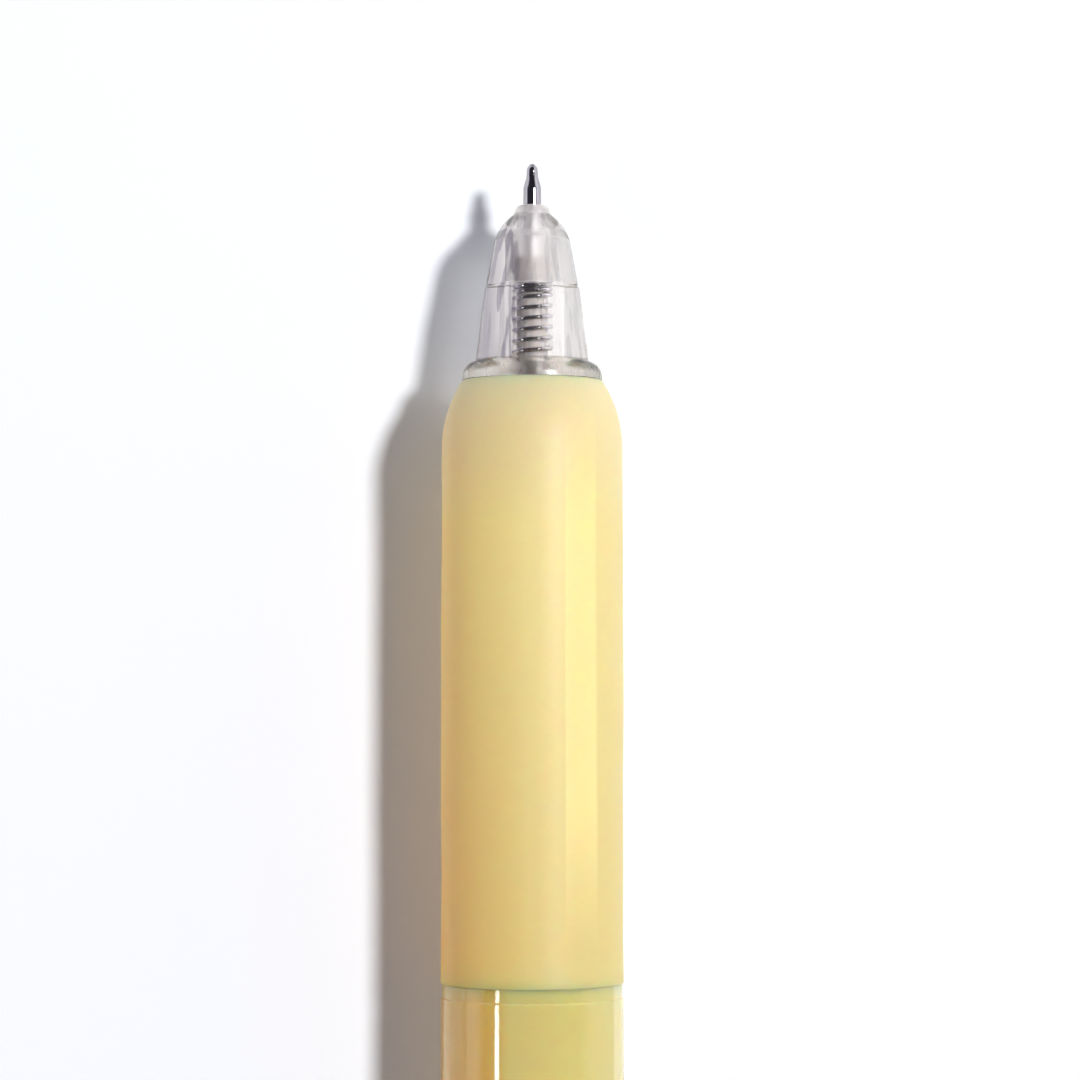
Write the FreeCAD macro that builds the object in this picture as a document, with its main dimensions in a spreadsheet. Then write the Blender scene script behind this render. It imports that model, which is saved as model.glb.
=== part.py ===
import FreeCAD, Part
import math
import os
import re

import Sketcher

# A retractable gel pen that lies on a table.
# Every piece is drawn about its own Z axis, which runs from the tip of the writing ball to the rear,
# so a place along the pen is its distance behind the tip. The placement then lays the piece down:
# the tip points along +Y, and the pen rests on its round body and on the edge of its clip.

# Driving sizes in millimetres
SIZES = {
    # Outer edges
    "edge_round": 0.25,
    # Writing ball and nib
    "ball_dia": 0.5,
    "ball_play": 0.01,
    "lip_setback": 0.16,
    "lip_edge": 0.02,
    "point_round": 0.6,
    "point_dia": 0.8,
    "point_len": 0.5,
    "stem_dia": 0.86,
    "stem_end": 1.0,
    "shank_dia": 1.3,
    "shank_start": 1.75,
    "shank_depth": 4.0,
    "ball_feed_dia": 0.36,
    "ball_feed_end": 1.2,
    "nib_feed_dia": 0.6,
    # Return spring
    "wire_dia": 0.32,
    "closed_gap": 0.02,
    "closed_turns": 2.0,
    "open_pitch": 0.77,
    "open_turns": 12.0,
    # Refill
    "refill_len": 110.0,
    "holder_front": 6.9,
    "holder_wall": 0.45,
    "holder_play": 0.08,
    "holder_edge": 0.15,
    "holder_feed_dia": 1.0,
    "holder_collar": 2.0,
    "holder_plug": 5.0,
    "tube_dia": 6.0,
    "tube_bore": 4.2,
    "press_gap": 0.02,
    "tail_rim": 0.6,
    "tail_depth": 2.0,
    "vent_dia": 0.8,
    "grease_len": 6.0,
    "air_len": 12.7,
    # Nose cone
    "nib_reach": 3.0,
    "nib_play": 0.09,
    "guide_len": 2.3,
    "collar_rim": 0.08,
    "collar_round": 0.6,
    "collar_dia": 2.56,
    "collar_len": 0.62,
    "dome_round": 3.7,
    "dome_dia": 4.86,
    "dome_len": 1.31,
    "bevel_rise": 0.25,
    "bevel_len": 0.55,
    "step_place": 8.95,
    "step_dia": 6.66,
    "step_rise": 0.07,
    "flange_rise": 0.95,
    "flange_round": 1.2,
    "flange_rim": 0.2,
    "spring_seat": 8.8,
    "seat_width": 0.25,
    "spring_play": 0.05,
    "spring_bore_len": 6.6,
    "funnel_len": 1.8,
    "tube_play": 0.2,
    "spigot_wall": 0.65,
    "spigot_len": 6.4,
    "thread_play": 0.05,
    # Grip sleeve
    "grip_front": 15.6,
    "grip_len": 42.9,
    "grip_lip": 0.5,
    "grip_shoulder": 9.0,
    "grip_play": 0.05,
    "grip_wall": 1.95,
    # Barrel
    "neck_wall": 0.6,
    "neck_play": 0.4,
    "bore_step": 0.43,
    "rim_drop": 0.08,
    "rim_len": 0.93,
    "cap_wall": 1.2,
    "cap_bore_len": 10.0,
    # Click mechanism
    "travel": 6.0,
    "over_travel": 0.8,
    "cam_gap": 0.05,
    "cam_play": 0.07,
    "rotor_stop": 0.2,
    "rotor_edge": 0.4,
    "rotor_pin_dia": 2.4,
    "rotor_pin_len": 4.8,
    "rib_len": 2.8,
    "rib_width": 1.0,
    "rib_slope": 0.8,
    "rib_reach": 0.05,
    "rib_rise": 0.4,
    "groove_play": 0.1,
    "sleeve_lead": 7.5,
    "sleeve_side": 0.67,
    "sleeve_wall": 1.0,
    "thrust_rib_len": 3.4,
    "notch_depth": 0.7,
    # Rear cap, clip and button
    "cap_len": 13.2,
    "cap_seat_depth": 4.75,
    "cap_seat_width": 0.37,
    "cap_round": 7.0,
    "cap_rear_dia": 9.8,
    "button_play": 0.07,
    "button_stand": 8.0,
    "button_round": 1.2,
    "socket_depth": 10.5,
    "clip_ring": 0.8,
    "ring_drop": 0.2,
    "clip_stand": 2.9,
    "clip_drop": 0.9,
    "clip_len": 36.0,
    "clip_width": 4.0,
    "clip_thick": 1.3,
    "clip_bend": 1.6,
    "clip_inner_bend": 0.6,
    "clip_bead_len": 4.0,
    "clip_bead_gap": 0.1,
}

# Places and radii worked out from the driving sizes
WORKED_OUT = {
    "ball_r": "ball_dia / 2",
    "ball_seat_r": "ball_r + ball_play",
    "lip_bore_r": "sqrt(ball_seat_r ^ 2 - (ball_r - lip_setback) ^ 2)",
    "ball_seat_end": "ball_r + sqrt(ball_seat_r ^ 2 - (ball_feed_dia / 2) ^ 2)",
    "shank_r": "shank_dia / 2",
    "shank_end": "holder_front + shank_depth",
    "holder_r": "shank_r + holder_wall",
    "coil_r": "holder_r + holder_play + wire_dia / 2",
    "closed_pitch": "wire_dia + closed_gap",
    "closed_len": "closed_pitch * closed_turns",
    "open_len": "open_pitch * open_turns",
    "coil_start": "spring_seat + wire_dia / 2",
    "open_start": "coil_start + closed_len",
    "open_end": "open_start + open_len",
    "spring_end": "open_end + closed_len + wire_dia / 2",
    "tube_r": "tube_dia / 2",
    "tube_start": "spring_end + holder_collar",
    "tube_end": "refill_len - tail_rim",
    "plug_r": "tube_bore / 2 - press_gap",
    "plug_end": "tube_start + holder_plug",
    "grease_end": "tube_end - tail_depth - air_len",
    "ink_end": "grease_end - grease_len",
    "guide_r": "shank_r + nib_play",
    "guide_end": "nib_reach + guide_len",
    "collar_face_r": "guide_r + collar_rim",
    "collar_end": "nib_reach + collar_len",
    "dome_end": "collar_end + dome_len",
    "bevel_end": "dome_end + bevel_len",
    "spring_bore_r": "coil_r + wire_dia / 2 + spring_play",
    "relief_r": "spring_bore_r - seat_width",
    "spring_bore_end": "spring_seat + spring_bore_len",
    "funnel_end": "spring_bore_end + funnel_len",
    "nose_bore_r": "tube_r + tube_play",
    "spigot_r": "nose_bore_r + spigot_wall",
    "spigot_end": "grip_front + spigot_len",
    "neck_bore_start": "spigot_end + thread_play",
    "neck_r": "spigot_r + thread_play + neck_wall",
    "neck_bore_r": "tube_r + neck_play",
    "body_r": "neck_r + grip_play + grip_wall",
    "flange_r": "neck_r + grip_lip",
    "cone_r": "flange_r - flange_rise",
    "flange_top": "grip_front - flange_rim",
    "flange_len": "sqrt(flange_round ^ 2 - (flange_round - flange_rise) ^ 2)",
    "grip_rear": "grip_front + grip_len",
    "shoulder_len": "sqrt(grip_shoulder ^ 2 - (grip_shoulder - body_r + flange_r) ^ 2)",
    "rib_r": "tube_r + rib_reach",
    "guide_bore_r": "rib_r - rib_rise",
    "cam_r": "guide_bore_r - cam_play",
    "groove_r": "rib_r + groove_play",
    "groove_width": "rib_width + 2 * groove_play",
    "rib_start": "refill_len + travel - rib_len + rotor_stop",
    "rib_low": "rib_start + rib_len",
    "rib_high": "rib_low + rib_slope",
    "rotor_rear": "rib_low - rotor_edge",
    "rotor_pin_end": "rotor_rear + rotor_pin_len",
    "thrust_front": "rib_high + cam_gap",
    "thrust_low": "thrust_front + rib_slope",
    "thrust_rib_end": "thrust_front + thrust_rib_len",
    "guide_front": "rib_high + 2 * cam_gap",
    "sleeve_front": "guide_front - sleeve_lead",
    "stop_front": "thrust_rib_end + travel + cam_gap",
    "sleeve_rear": "stop_front + sleeve_wall",
    "cam_seat": "sleeve_rear + cam_gap",
    "sleeve_r": "groove_r + sleeve_side",
    "barrel_bore_r": "sleeve_r + thread_play",
    "cap_front": "cam_seat - cap_seat_depth",
    "cap_rear": "cap_front + cap_len",
    "cap_bore_r": "body_r - cap_wall",
    "cap_spigot_r": "cap_bore_r - thread_play",
    "cap_round_len": "sqrt(cap_round ^ 2 - (cap_round - body_r + cap_rear_dia / 2) ^ 2)",
    "barrel_rear": "cap_front - clip_ring",
    "cap_bore_start": "barrel_rear - cap_bore_len",
    "cap_spigot_start": "cap_bore_start + thread_play",
    "button_hole_r": "barrel_bore_r - cap_seat_width",
    "button_r": "button_hole_r - button_play",
    "button_front": "cam_seat + over_travel + 2 * cam_gap",
    "socket_end": "button_front + socket_depth",
    "button_rear": "cap_rear + button_stand",
    "ring_r": "body_r - ring_drop",
    "clip_front": "barrel_rear - clip_len",
    "clip_reach": "body_r + clip_stand",
    "clip_tip_r": "clip_reach - clip_drop",
    "clip_under_r": "clip_tip_r - clip_thick",
    "bead_rise": "clip_under_r - body_r - clip_bead_gap",
    "bead_round": "(clip_bead_len ^ 2 / 4 + bead_rise ^ 2) / (2 * bead_rise)",
    "clip_corner_r": "sqrt(clip_reach ^ 2 + (clip_width / 2) ^ 2)",
    "clip_corner_turn": "atan(clip_width / 2 / clip_reach)",
    "clip_turn": "acos(body_r / clip_corner_r) + clip_corner_turn",
    "clip_far": "clip_corner_r * sin(clip_turn + clip_corner_turn)",
    "axis_place": "(body_r - clip_far) / 2",
    "tip_place": "button_rear / 2",
}

doc = FreeCAD.newDocument("gel_pen")
sizes = doc.addObject("Spreadsheet::Sheet", "Sizes")
written = {name: str(size) for name, size in SIZES.items()}
written.update({name: "=" + formula for name, formula in WORKED_OUT.items()})
for row, (name, text) in enumerate(written.items(), start=1):
    sizes.set(f"A{row}", name)
    sizes.set(f"B{row}", text)
    sizes.setAlias(f"B{row}", name)
doc.recompute()

# The pieces in the order in which they are made, by the names of their files
pieces = {}


def value(expression):
    """The number that an expression in the sheet's names comes to."""
    result = sizes.evalExpression(expression)
    return float(getattr(result, "Value", result))


def bound(expression):
    """The same expression as another object of the document writes it."""
    return re.sub(r"[a-z]\w*", lambda word: "Sizes." * (word[0] in written) + word[0], expression)


def lay_down(piece):
    """Turn the piece's Z axis to -Y, and put the tip and the axis in their places."""
    piece.Placement = FreeCAD.Placement(FreeCAD.Vector(), FreeCAD.Rotation(FreeCAD.Vector(1, 0, 0), 90))
    piece.setExpression("Placement.Base.x", bound("axis_place"))
    piece.setExpression("Placement.Base.y", bound("tip_place"))
    piece.setExpression("Placement.Base.z", bound("body_r"))
    pieces[piece.Label] = piece


def new_body(name):
    body = doc.addObject("PartDesign::Body", name)
    body.Label = name
    lay_down(body)
    return body


def arc_between(start, end, radius):
    """The arc from start to end, anticlockwise for a positive radius and clockwise for a negative one."""
    chord = end - start
    side = FreeCAD.Vector(-chord.y, chord.x, 0).normalize()
    reach = math.sqrt(radius**2 - (chord.Length / 2) ** 2)
    circle = Part.Circle()
    circle.Center = start + chord * 0.5 + side * math.copysign(reach, radius)
    circle.Radius = abs(radius)
    ends = (start, end) if radius > 0 else (end, start)
    return Part.ArcOfCircle(circle, *(circle.parameter(point) for point in ends))


def new_sketch(body, name, outline):
    """A closed outline on the plane through the body's axis.

    Each point is its distance from the axis and its place along it, as expressions. A third one is
    the radius of the arc to the next point, positive where the arc runs anticlockwise.
    """
    sketch = body.newObject("Sketcher::SketchObject", name)
    plane = next(part for part in body.Origin.OriginFeatures if part.Role == "XZ_Plane")
    sketch.AttachmentSupport = [(plane, "")]
    sketch.MapMode = "FlatFace"
    points = [FreeCAD.Vector(value(across), value(along), 0) for across, along, *_ in outline]
    radii = [value(bend[0]) if bend else 0.0 for _, _, *bend in outline]
    first_ends = [2 if radius < 0 else 1 for radius in radii]
    for number, radius in enumerate(radii):
        start = points[number]
        end = points[(number + 1) % len(points)]
        edge = arc_between(start, end, radius) if radius else Part.LineSegment(start, end)
        sketch.addGeometry(edge, False)
    for number, (across, along, *bend) in enumerate(outline):
        following = (number + 1) % len(outline)
        joined = (number, 3 - first_ends[number], following, first_ends[following])
        sketch.addConstraint(Sketcher.Constraint("Coincident", *joined))
        for kind, expression in (("DistanceX", across), ("DistanceY", along)):
            place = (-1, 1, number, first_ends[number], value(expression))
            held = sketch.addConstraint(Sketcher.Constraint(kind, *place))
            sketch.setExpression(f"Constraints[{held}]", bound(expression))
        if bend:
            held = sketch.addConstraint(Sketcher.Constraint("Radius", number, abs(radii[number])))
            sketch.setExpression(f"Constraints[{held}]", bound(f"abs({bend[0]})"))
    return sketch


def turn(body, outline):
    """Revolve an outline about the body's axis."""
    sketch = new_sketch(body, body.Name + "_profile", outline)
    feature = body.newObject("PartDesign::Revolution", body.Name + "_turned")
    feature.Profile = sketch
    feature.ReferenceAxis = (sketch, ["V_Axis"])
    feature.Angle = 360
    sketch.Visibility = False
    doc.recompute()
    return feature


def repeat_round(body, feature, count):
    """Repeat a feature round the body's axis."""
    pattern = body.newObject("PartDesign::PolarPattern", feature.Name + "_round")
    pattern.Originals = [feature]
    axis = next(part for part in body.Origin.OriginFeatures if part.Role == "Z_Axis")
    pattern.Axis = (axis, [""])
    pattern.Angle = 360
    pattern.Occurrences = count
    body.Tip = pattern
    doc.recompute()


def add_ribs(body, outline, inner, outer, count):
    """Ribs round the body, each an outline drawn flat and padded from one distance to another."""
    sketch = new_sketch(body, body.Name + "_rib_face", outline)
    sketch.setExpression("AttachmentOffset.Base.z", bound(inner))
    before = body.Shape.Volume
    rib = body.newObject("PartDesign::Pad", body.Name + "_rib")
    rib.Profile = sketch
    rib.setExpression("Length", bound(f"{outer} - ({inner})"))
    doc.recompute()
    repeat_round(body, rib, count)
    if body.Shape.Volume <= before:
        raise ValueError(f"{body.Name}: the ribs add nothing")


def cut_slots(body, name, outline, inner, outer, count):
    """Slots round the body, each an outline drawn flat and cut from one distance to another."""
    sketch = new_sketch(body, f"{name}_face", outline)
    sketch.setExpression("AttachmentOffset.Base.z", bound(inner))
    before = body.Shape.Volume
    slot = body.newObject("PartDesign::Pocket", name)
    slot.Profile = sketch
    slot.Reversed = True
    slot.setExpression("Length", bound(f"{outer} - ({inner})"))
    doc.recompute()
    repeat_round(body, slot, count)
    if body.Shape.Volume >= before:
        raise ValueError(f"{body.Name}: {name} cuts nothing")


def make_writing_ball():
    """Hard ball that rolls in the nib's seat."""
    ball = doc.addObject("Part::Sphere", "writing_ball")
    ball.Label = "writing_ball"
    lay_down(ball)
    ball.setExpression("Radius", bound("ball_r"))
    ball.setExpression("Placement.Base.y", bound("tip_place - ball_r"))


def make_ball_tip():
    """Turned nib: rounded lip, slim stem, shoulder, shank, and the feed bore behind the ball seat."""
    turn(new_body("ball_tip"), [
        ("lip_bore_r", "lip_setback"),
        ("lip_bore_r + lip_edge", "lip_setback", "point_round"),
        ("point_dia / 2", "point_len"),
        ("stem_dia / 2", "stem_end"),
        ("shank_r", "shank_start"),
        ("shank_r", "shank_end"),
        ("nib_feed_dia / 2", "shank_end"),
        ("nib_feed_dia / 2", "ball_feed_end + ball_feed_dia / 2"),
        ("ball_feed_dia / 2", "ball_feed_end"),
        ("ball_feed_dia / 2", "ball_seat_end", "-ball_seat_r"),
    ])


def make_tip_holder():
    """Neck inside the spring, collar that the spring bears on, and plug in the tube."""
    turn(new_body("tip_holder"), [
        ("shank_r + press_gap", "holder_front"),
        ("holder_r - holder_edge", "holder_front"),
        ("holder_r", "holder_front + holder_edge"),
        ("holder_r", "spring_end"),
        ("tube_r - holder_edge", "spring_end"),
        ("tube_r", "spring_end + holder_edge"),
        ("tube_r", "tube_start"),
        ("plug_r", "tube_start"),
        ("plug_r", "plug_end"),
        ("holder_feed_dia / 2", "plug_end"),
        ("holder_feed_dia / 2", "shank_end + press_gap"),
        ("shank_r + press_gap", "shank_end + press_gap"),
    ])


def make_ink_tube():
    turn(new_body("ink_tube"), [
        ("tube_bore / 2", "tube_start"),
        ("tube_r", "tube_start"),
        ("tube_r", "tube_end"),
        ("tube_bore / 2", "tube_end"),
    ])


def make_gel_ink():
    """Ink in the tube, and its thread through the holder and the nib up to the ball."""
    turn(new_body("gel_ink"), [
        ("0", "ball_seat_end + press_gap"),
        ("ball_feed_dia / 2 - press_gap", "ball_seat_end + press_gap"),
        ("ball_feed_dia / 2 - press_gap", "ball_feed_end + press_gap"),
        ("nib_feed_dia / 2 - press_gap", "ball_feed_end + ball_feed_dia / 2 + press_gap"),
        ("nib_feed_dia / 2 - press_gap", "shank_end + press_gap"),
        ("holder_feed_dia / 2 - press_gap", "shank_end + 2 * press_gap"),
        ("holder_feed_dia / 2 - press_gap", "plug_end"),
        ("plug_r", "plug_end"),
        ("plug_r", "ink_end"),
        ("0", "ink_end"),
    ])


def make_follower_grease():
    """Clear plug of grease that follows the ink."""
    turn(new_body("follower_grease"), [
        ("0", "ink_end"),
        ("plug_r", "ink_end"),
        ("plug_r", "grease_end"),
        ("0", "grease_end"),
    ])


def make_tail_plug():
    """Vented plug that closes the rear of the tube."""
    turn(new_body("tail_plug"), [
        ("vent_dia / 2", "tube_end - tail_depth"),
        ("plug_r", "tube_end - tail_depth"),
        ("plug_r", "tube_end"),
        ("tube_r", "tube_end"),
        ("tube_r", "refill_len"),
        ("vent_dia / 2", "refill_len"),
    ])


def make_return_spring():
    """Wire wound with closed turns at both ends and an open pitch between, with a ball at each joint."""
    lengths = {"closed_front": ("coil_start", "closed_pitch", "closed_len"),
               "open_middle": ("open_start", "open_pitch", "open_len"),
               "closed_rear": ("open_end", "closed_pitch", "closed_len")}
    wound = []
    angle = 0.0
    for name, (start, pitch, length) in lengths.items():
        wound += [wind(name, start, pitch, length, angle), wire_ball(name + "_ball", start, angle)]
        angle += 360 * value(f"{length} / {pitch}")
    wound.append(wire_ball("last_ball", "open_end + closed_len", angle))
    spring = doc.addObject("Part::MultiFuse", "return_spring")
    spring.Label = "return_spring"
    spring.Shapes = wound
    lay_down(spring)


def wire_ball(name, place, angle):
    ball = doc.addObject("Part::Sphere", name)
    ball.setExpression("Radius", bound("wire_dia / 2"))
    ball.setExpression("Placement.Base.x", bound(f"coil_r * cos({angle} deg)"))
    ball.setExpression("Placement.Base.y", bound(f"coil_r * sin({angle} deg)"))
    ball.setExpression("Placement.Base.z", bound(place))
    return ball


def wind(name, start, pitch, length, angle):
    """One stretch of the spring: the wire's round section swept along a helix."""
    route = doc.addObject("Part::Helix", name + "_route")
    route.Placement.Rotation = FreeCAD.Rotation(FreeCAD.Vector(0, 0, 1), angle)
    route.SegmentLength = 1
    for size, expression in (("Pitch", pitch), ("Height", length), ("Radius", "coil_r"),
                             ("Placement.Base.z", start)):
        route.setExpression(size, bound(expression))
    section = doc.addObject("Part::Circle", name + "_section")
    section.Placement.Rotation = FreeCAD.Rotation(angle, 0, 90)
    for size, expression in (("Radius", "wire_dia / 2"),
                             ("Placement.Base.x", f"coil_r * cos({angle} deg)"),
                             ("Placement.Base.y", f"coil_r * sin({angle} deg)"),
                             ("Placement.Base.z", start)):
        section.setExpression(size, bound(expression))
    wire = doc.addObject("Part::Sweep", name)
    wire.Sections = [section]
    wire.Spine = (route, [])
    wire.Solid = True
    wire.Frenet = True
    return wire


def make_nose_cone():
    """Clear cone: collar, dome, bevel ring, outer step and flange; stepped bore, funnel and spigot."""
    turn(new_body("nose_cone"), [
        ("guide_r", "nib_reach"),
        ("collar_face_r", "nib_reach", "collar_round"),
        ("collar_dia / 2", "collar_end - collar_rim"),
        ("collar_dia / 2", "collar_end", "dome_round"),
        ("dome_dia / 2", "dome_end"),
        ("dome_dia / 2 + bevel_rise", "bevel_end"),
        ("step_dia / 2", "step_place"),
        ("step_dia / 2 + step_rise", "step_place + step_rise"),
        ("cone_r", "flange_top - flange_len", "flange_round"),
        ("flange_r", "flange_top"),
        ("flange_r", "grip_front"),
        ("spigot_r", "grip_front"),
        ("spigot_r", "spigot_end"),
        ("nose_bore_r", "spigot_end"),
        ("nose_bore_r", "funnel_end"),
        ("spring_bore_r", "spring_bore_end"),
        ("spring_bore_r", "spring_seat"),
        ("relief_r", "spring_seat"),
        ("relief_r", "guide_end"),
        ("guide_r", "guide_end"),
    ])


def make_grip_sleeve():
    """Soft sleeve on the barrel's neck, rounded down to the nose cone's flange."""
    turn(new_body("grip_sleeve"), [
        ("neck_r + grip_play", "grip_front"),
        ("flange_r", "grip_front", "grip_shoulder"),
        ("body_r", "grip_front + shoulder_len"),
        ("body_r", "grip_rear - edge_round", "edge_round"),
        ("body_r - edge_round", "grip_rear"),
        ("neck_r + grip_play", "grip_rear"),
    ])


def make_barrel():
    """Thick clear body with a neck under the grip and a threaded bore at each end."""
    turn(new_body("barrel"), [
        ("spigot_r + thread_play", "grip_front"),
        ("neck_r", "grip_front"),
        ("neck_r", "grip_rear"),
        ("body_r - rim_drop", "grip_rear"),
        ("body_r - rim_drop", "grip_rear + rim_len"),
        ("body_r", "grip_rear + rim_len + rim_drop"),
        ("body_r", "barrel_rear"),
        ("cap_bore_r", "barrel_rear"),
        ("cap_bore_r", "cap_bore_start"),
        ("barrel_bore_r", "cap_bore_start"),
        ("barrel_bore_r", "grip_rear + bore_step"),
        ("neck_bore_r", "grip_rear + bore_step"),
        ("neck_bore_r", "neck_bore_start"),
        ("spigot_r + thread_play", "neck_bore_start"),
    ])


def make_cam_sleeve():
    """Fixed guide of the click mechanism, with grooves for the ribs and notches between them."""
    body = new_body("cam_sleeve")
    turn(body, [
        ("groove_r", "sleeve_front"),
        ("sleeve_r", "sleeve_front"),
        ("sleeve_r", "sleeve_rear"),
        ("guide_bore_r", "sleeve_rear"),
        ("guide_bore_r", "guide_front"),
        ("groove_r", "guide_front"),
    ])
    cut_slots(body, "groove", [
        ("-groove_width / 2", "guide_front - cam_gap"),
        ("groove_width / 2", "guide_front - cam_gap"),
        ("groove_width / 2", "stop_front"),
        ("-groove_width / 2", "stop_front"),
    ], "guide_bore_r - rib_width", "groove_r", 4)
    cut_slots(body, "notch", [
        ("-groove_width / 2", "guide_front - cam_gap"),
        ("groove_width / 2", "guide_front - cam_gap"),
        ("groove_width / 2", "guide_front + notch_depth"),
        ("-groove_width / 2", "guide_front"),
    ], "guide_bore_r - rib_width", "groove_r", 8)


def make_rotor_cam():
    """Turning cam behind the refill, with four sloping ribs and a pin that centres it."""
    body = new_body("rotor_cam")
    turn(body, [
        ("0", "refill_len"),
        ("cam_r", "refill_len"),
        ("cam_r", "rotor_rear"),
        ("rotor_pin_dia / 2", "rotor_rear"),
        ("rotor_pin_dia / 2", "rotor_pin_end"),
        ("0", "rotor_pin_end"),
    ])
    add_ribs(body, [
        ("-rib_width / 2", "rib_start"),
        ("rib_width / 2", "rib_start"),
        ("rib_width / 2", "rib_high"),
        ("-rib_width / 2", "rib_low"),
    ], "cam_r - rib_width / 2", "rib_r", 4)


def make_thrust_cam():
    """Plunger that the button drives: four ribs in the grooves, and a stem in the button's socket."""
    body = new_body("thrust_cam")
    turn(body, [
        ("rotor_pin_dia / 2 + cam_play", "thrust_low"),
        ("cam_r", "thrust_low"),
        ("cam_r", "socket_end"),
        ("0", "socket_end"),
        ("0", "rotor_pin_end + rib_width"),
        ("rotor_pin_dia / 2 + cam_play", "rotor_pin_end + rib_width"),
    ])
    add_ribs(body, [
        ("-rib_width / 2", "thrust_front"),
        ("rib_width / 2", "thrust_low"),
        ("rib_width / 2", "thrust_rib_end"),
        ("-rib_width / 2", "thrust_rib_end"),
    ], "cam_r - rib_width / 2", "rib_r", 4)


def make_push_button():
    turn(new_body("push_button"), [
        ("cam_r + press_gap", "button_front"),
        ("button_r - edge_round", "button_front"),
        ("button_r", "button_front + edge_round"),
        ("button_r", "button_rear - button_round", "button_round"),
        ("button_r - button_round", "button_rear"),
        ("0", "button_rear"),
        ("0", "socket_end"),
        ("cam_r + press_gap", "socket_end"),
    ])


def make_rear_cap():
    """Clear end cap: spigot in the barrel, seat for the cam sleeve, and the button's hole."""
    turn(new_body("rear_cap"), [
        ("barrel_bore_r", "cap_spigot_start"),
        ("cap_spigot_r", "cap_spigot_start"),
        ("cap_spigot_r", "cap_front"),
        ("body_r - edge_round", "cap_front", "edge_round"),
        ("body_r", "cap_front + edge_round"),
        ("body_r", "cap_rear - cap_round_len", "cap_round"),
        ("cap_rear_dia / 2", "cap_rear"),
        ("button_hole_r", "cap_rear"),
        ("button_hole_r", "cam_seat"),
        ("barrel_bore_r", "cam_seat"),
    ])


def make_clip():
    """Moulded clip: a ring between the barrel and the cap, and an arm with a bead that nears the barrel."""
    body = new_body("clip")
    turn(body, [
        ("cap_bore_r", "barrel_rear"),
        ("ring_r", "barrel_rear"),
        ("ring_r", "cap_front"),
        ("cap_bore_r", "cap_front"),
    ])
    sketch = new_sketch(body, "clip_side", [
        ("(cap_bore_r + ring_r) / 2", "barrel_rear"),
        ("clip_reach - clip_thick - clip_inner_bend", "barrel_rear", "-clip_inner_bend"),
        ("clip_reach - clip_thick", "barrel_rear - clip_inner_bend"),
        ("clip_under_r", "clip_front + clip_bead_len", "-bead_round"),
        ("clip_under_r", "clip_front", "clip_thick / 2 * 1.0001"),
        ("clip_tip_r", "clip_front"),
        ("clip_reach", "cap_front - clip_bend", "clip_bend"),
        ("clip_reach - clip_bend", "cap_front"),
        ("(cap_bore_r + ring_r) / 2", "cap_front"),
    ])
    sketch.AttachmentOffset = FreeCAD.Placement(
        FreeCAD.Vector(), FreeCAD.Rotation(FreeCAD.Vector(0, 1, 0), value("clip_turn - 90 deg")))
    sketch.setExpression("AttachmentOffset.Rotation.Angle", bound("clip_turn - 90 deg"))
    arm = body.newObject("PartDesign::Pad", "clip_arm")
    arm.Profile = sketch
    arm.Midplane = True
    arm.setExpression("Length", bound("clip_width"))
    doc.recompute()


make_writing_ball()
make_ball_tip()
make_tip_holder()
make_ink_tube()
make_gel_ink()
make_follower_grease()
make_tail_plug()
make_return_spring()
make_nose_cone()
make_grip_sleeve()
make_barrel()
make_cam_sleeve()
make_rotor_cam()
make_thrust_cam()
make_push_button()
make_rear_cap()
make_clip()
doc.recompute()

# Nothing is written unless every object is sound and every piece is one solid
for item in doc.Objects:
    if {"Invalid", "Error"} & set(item.State):
        raise ValueError(f"{item.Name} failed: {item.State}")
for name, piece in pieces.items():
    shape = piece.Shape
    if shape.isNull() or not shape.isValid() or len(shape.Solids) != 1:
        raise ValueError(f"{name} isn't one sound solid")

os.makedirs("parts", exist_ok=True)
for name, piece in pieces.items():
    piece.Shape.exportStep(f"parts/{name}.step")
print(len(pieces), "pieces,", round(value("button_rear"), 2), "mm long")
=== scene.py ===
# %% [markdown]
# # A gel pen on a white table
# The pen lies on its round body and on the edge of its clip, with its tip towards +Y.
# Nearly every part of it is turned round one axis, so each is a profile carried round a circle.
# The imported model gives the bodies, the joints and the plain solids. This lesson gives the pen its looks.

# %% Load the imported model
import math

import bpy
import numpy as np
from mathutils import Matrix, Vector


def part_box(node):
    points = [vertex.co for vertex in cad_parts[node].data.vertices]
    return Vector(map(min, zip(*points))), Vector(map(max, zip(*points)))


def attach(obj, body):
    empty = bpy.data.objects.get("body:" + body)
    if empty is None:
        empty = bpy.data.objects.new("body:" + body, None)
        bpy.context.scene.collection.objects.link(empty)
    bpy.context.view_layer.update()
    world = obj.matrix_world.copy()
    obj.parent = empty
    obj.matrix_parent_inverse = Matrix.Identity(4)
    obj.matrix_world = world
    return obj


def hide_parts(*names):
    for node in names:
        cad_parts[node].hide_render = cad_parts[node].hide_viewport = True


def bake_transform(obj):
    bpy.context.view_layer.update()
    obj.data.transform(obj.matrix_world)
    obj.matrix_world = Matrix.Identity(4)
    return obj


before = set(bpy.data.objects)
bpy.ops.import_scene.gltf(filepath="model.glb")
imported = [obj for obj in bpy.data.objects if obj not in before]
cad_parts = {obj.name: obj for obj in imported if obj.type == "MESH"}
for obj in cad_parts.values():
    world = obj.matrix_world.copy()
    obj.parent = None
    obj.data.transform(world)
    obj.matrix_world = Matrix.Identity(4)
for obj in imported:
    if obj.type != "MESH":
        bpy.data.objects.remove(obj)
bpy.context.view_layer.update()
scene = bpy.context.scene

# %% [markdown]
# ## Where things are
# A place on the pen is a station, the distance behind the writing ball in millimetres, and a radius.
# `on_pen` turns stations, radii and angles into points in metres. Angle 0 looks to +X and a quarter turn up.
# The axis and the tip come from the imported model, so the pieces fit the solids with nothing typed twice.

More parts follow.
